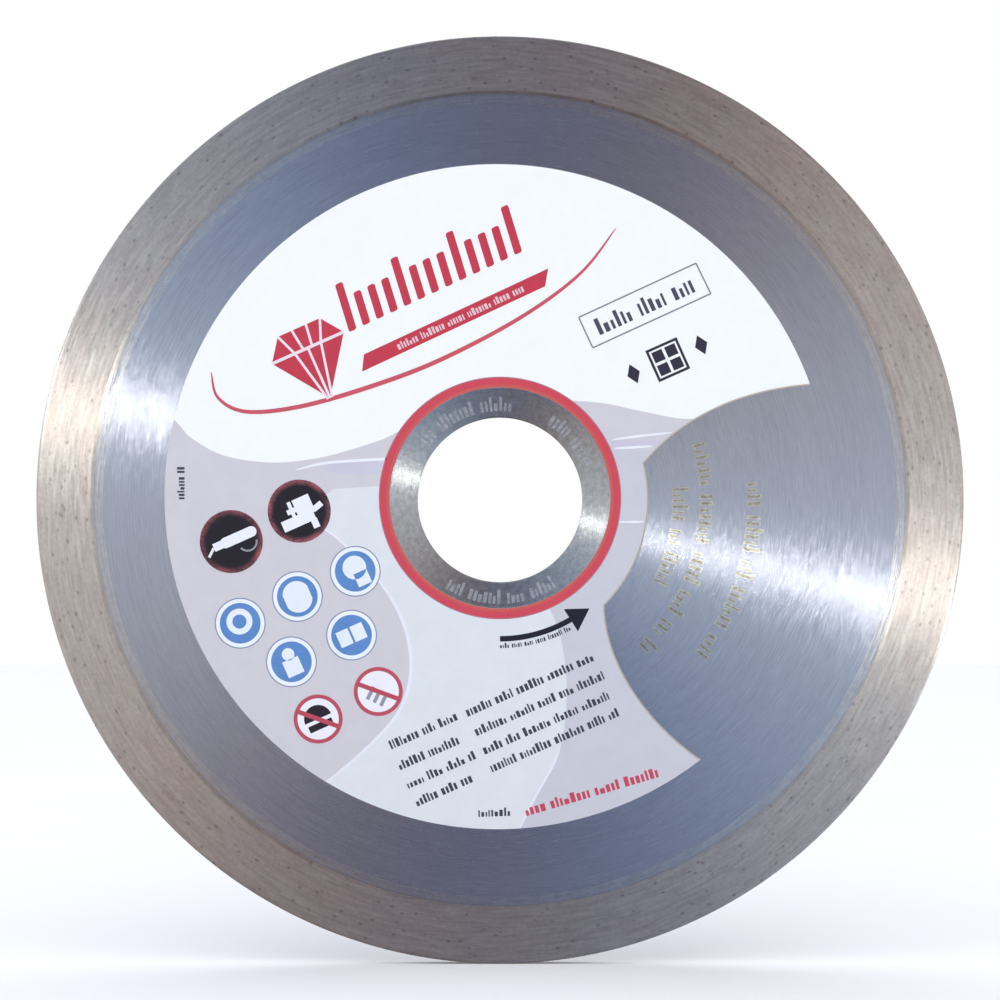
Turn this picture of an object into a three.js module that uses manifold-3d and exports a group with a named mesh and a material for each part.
// Continuous-rim diamond blade for cutting tiles, 125 mm across, for a 22.23 mm arbor.
// Millimetres, +Z up. The blade stands upright with its axis along Y. Its printed face looks
// towards -Y, and the origin is the centre of the arbor bore, midway through the thickness.

import * as THREE from 'three';
import { mergeVertices } from 'three/addons/utils/BufferGeometryUtils.js';
import Module from 'manifold-3d';

const wasm = await Module();
wasm.setup();

// Driving dimensions
const bladeRadius = 62.5;
const boreRadius = 22.23 / 2;
const coreThickness = 1.4;
const rimThickness = 2.2;
const rimInnerRadius = 54.75;

// The steel core ends under the rim, in a thinner, notched tongue that keys the sintered metal to it.
const coreRadius = 56.4;
const tongueInnerRadius = 53.5;
const tongueThickness = 1;
const boreChamfer = 0.15;
const notchCount = 36;
const notchRadius = 0.9;

// The diamond-free backing wraps the tongue. It starts flush with the core's faces, and a narrow
// band of it shows inside the rim.
const backingRadius = 57.2;
const backingThickness = 1.64;

// The rim's outer corners are worn round by dressing, and its inner lip has a small chamfer.
const rimCornerRadius = 0.2;
const rimLipChamfer = 0.06;

// The label is stuck on a little off the blade's centre. Its hub hole is nearly true.
const labelRadius = 44.8;
const labelCentre = { x: -0.4, z: 0.45 };
const hubHoleRadius = 14.9;
const hubHoleCentre = { x: 0, z: 0.27 };
const adhesiveThickness = 0.025;
const filmThickness = 0.1;

// A window in the label's right side shows the steel. Its inner edge is an arc round the bore, and
// its upper and lower edges are curves, each with two control points, from that arc to the outside.
const windowArcRadius = 20;
const windowArcAngles = { upper: 14.3, lower: -45.3 };
const windowTipAngles = { upper: 19.6, lower: -52.2 };
const windowUpperPull = [24.9, 11.4, 32.5, 14.7];
const windowLowerPull = [20.2, -30.3, 14.3, -22.4];

const turnSegments = 120;
const notchSegments = 10;
const cornerSteps = 3;
const labelCurveSteps = 60;

const steel = new THREE.MeshStandardMaterial({ color: 0xa9aeb8, roughness: 0.32, metalness: 1 });
const bareBond = new THREE.MeshStandardMaterial({ color: 0xa39d96, roughness: 0.45, metalness: 1 });
const diamondBond = new THREE.MeshStandardMaterial({ color: 0x9a928a, roughness: 0.55, metalness: 1 });
const printedFilm = new THREE.MeshStandardMaterial({ color: 0xe9ebf2, roughness: 0.3, metalness: 0 });
const adhesive = new THREE.MeshStandardMaterial({ color: 0xd8d4c4, roughness: 0.6, metalness: 0 });

// A profile is a list of [radius, place along the axis], anticlockwise, and closes on itself.
function turned(profile) {
  const points = [...profile, profile[0]].map(([radius, along]) => new THREE.Vector2(radius, along));
  return new THREE.LatheGeometry(points, turnSegments);
}

function toManifold(geometry) {
  const bare = geometry.clone();
  bare.deleteAttribute('normal');
  bare.deleteAttribute('uv');
  const merged = mergeVertices(bare, 1e-4);
  const vertProperties = new Float32Array(merged.getAttribute('position').array);
  const triVerts = new Uint32Array(merged.index.array);
  return new wasm.Manifold(new wasm.Mesh({ numProp: 3, vertProperties, triVerts }));
}

function toGeometry(solid) {
  const { vertProperties, triVerts } = solid.getMesh();
  const geometry = new THREE.BufferGeometry();
  geometry.setAttribute('position', new THREE.BufferAttribute(vertProperties, 3));
  geometry.setIndex(new THREE.BufferAttribute(triVerts, 1));
  geometry.computeVertexNormals();
  return geometry;
}

// A flat disc with its bore and its tongue, before the notches are cut.
function coreBlank() {
  const half = coreThickness / 2;
  const tongueHalf = tongueThickness / 2;
  return turned([
    [boreRadius + boreChamfer, -half],
    [tongueInnerRadius, -half],
    [tongueInnerRadius, -tongueHalf],
    [coreRadius, -tongueHalf],
    [coreRadius, tongueHalf],
    [tongueInnerRadius, tongueHalf],
    [tongueInnerRadius, half],
    [boreRadius + boreChamfer, half],
    [boreRadius, half - boreChamfer],
    [boreRadius, boreChamfer - half],
  ]);
}

function notchCutter(angle) {
  const cutter = new THREE.CylinderGeometry(notchRadius, notchRadius, coreThickness * 2, notchSegments);
  cutter.translate(0, 0, coreRadius);
  cutter.rotateY(angle);
  return toManifold(cutter);
}

function steelCore() {
  let core = toManifold(coreBlank());
  for (let i = 0; i < notchCount; i += 1) {
    core = core.subtract(notchCutter(((i + 0.5) / notchCount) * 2 * Math.PI));
  }
  return core;
}

// Sintered metal without diamond: it fills the notches and both sides of the tongue.
function backingRing(core) {
  const innerHalf = coreThickness / 2;
  const half = backingThickness / 2;
  const blank = turned([
    [tongueInnerRadius, -innerHalf],
    [rimInnerRadius, -half],
    [backingRadius, -half],
    [backingRadius, half],
    [rimInnerRadius, half],
    [tongueInnerRadius, innerHalf],
  ]);
  return toManifold(blank).subtract(core);
}

// The outer corner between the working face and a flank; side is +1 or -1 along the axis.
function rimCorner(side) {
  const points = [];
  for (let i = 0; i <= cornerSteps; i += 1) {
    const angle = (i / cornerSteps) * (Math.PI / 2);
    const radius = bladeRadius - rimCornerRadius * (1 - Math.cos(angle));
    const along = rimThickness / 2 - rimCornerRadius * (1 - Math.sin(angle));
    points.push([radius, side * along]);
  }
  return side > 0 ? points : points.reverse();
}

// The working layer of metal bond and diamond grit, with a groove that holds the backing.
function diamondRim() {
  const half = rimThickness / 2;
  const grooveHalf = backingThickness / 2;
  return turned([
    [rimInnerRadius + rimLipChamfer, -half],
    ...rimCorner(-1),
    ...rimCorner(1),
    [rimInnerRadius + rimLipChamfer, half],
    [rimInnerRadius, half - rimLipChamfer],
    [rimInnerRadius, grooveHalf],
    [backingRadius, grooveHalf],
    [backingRadius, -grooveHalf],
    [rimInnerRadius, -grooveHalf],
    [rimInnerRadius, rimLipChamfer - half],
  ]);
}

function onCircle(radius, degrees, centre = { x: 0, z: 0 }) {
  const angle = THREE.MathUtils.degToRad(degrees);
  return new THREE.Vector2(centre.x + radius * Math.cos(angle), centre.z + radius * Math.sin(angle));
}

// A circular stretch of the outline, anticlockwise between two angles in degrees.
function addArc(shape, radius, from, to, centre = { x: 0, z: 0 }) {
  const [start, end] = [from, to].map(THREE.MathUtils.degToRad);
  shape.absarc(centre.x, centre.z, radius, start, end, false);
}

// The outline as seen from the front, anticlockwise from the window's upper tip.
function labelShape() {
  const upperTip = onCircle(labelRadius, windowTipAngles.upper, labelCentre);
  const lowerCorner = onCircle(windowArcRadius, windowArcAngles.lower);
  const shape = new THREE.Shape();
  shape.moveTo(upperTip.x, upperTip.y);
  addArc(shape, labelRadius, windowTipAngles.upper, windowTipAngles.lower + 360, labelCentre);
  shape.bezierCurveTo(...windowLowerPull, lowerCorner.x, lowerCorner.y);
  addArc(shape, windowArcRadius, windowArcAngles.lower, windowArcAngles.upper);
  shape.bezierCurveTo(...windowUpperPull, upperTip.x, upperTip.y);

  const hubHole = new THREE.Path();
  hubHole.absarc(hubHoleCentre.x, hubHoleCentre.z, hubHoleRadius, 0, 2 * Math.PI, true);
  shape.holes.push(hubHole);
  return shape;
}

// A sheet cut to the label's outline, against the core's front face or a given height above it.
function labelLayer(height, thickness) {
  const options = { depth: thickness, bevelEnabled: false, curveSegments: labelCurveSteps };
  const layer = new THREE.ExtrudeGeometry(labelShape(), options);
  const right = new THREE.Vector3(1, 0, 0);
  const up = new THREE.Vector3(0, 0, 1);
  const front = new THREE.Vector3(0, -1, 0);
  layer.applyMatrix4(new THREE.Matrix4().makeBasis(right, up, front));
  layer.translate(0, -coreThickness / 2 - height, 0);
  return layer;
}

const blade = new THREE.Group();

function addPiece(name, geometry, material) {
  const piece = new THREE.Mesh(geometry, material);
  piece.name = name;
  blade.add(piece);
}

const core = steelCore();
addPiece('steel_core', toGeometry(core), steel);
addPiece('backing_ring', toGeometry(backingRing(core)), bareBond);
addPiece('diamond_rim', diamondRim(), diamondBond);
addPiece('label_adhesive', labelLayer(0, adhesiveThickness), adhesive);
addPiece('label_film', labelLayer(adhesiveThickness, filmThickness), printedFilm);

export default blade;
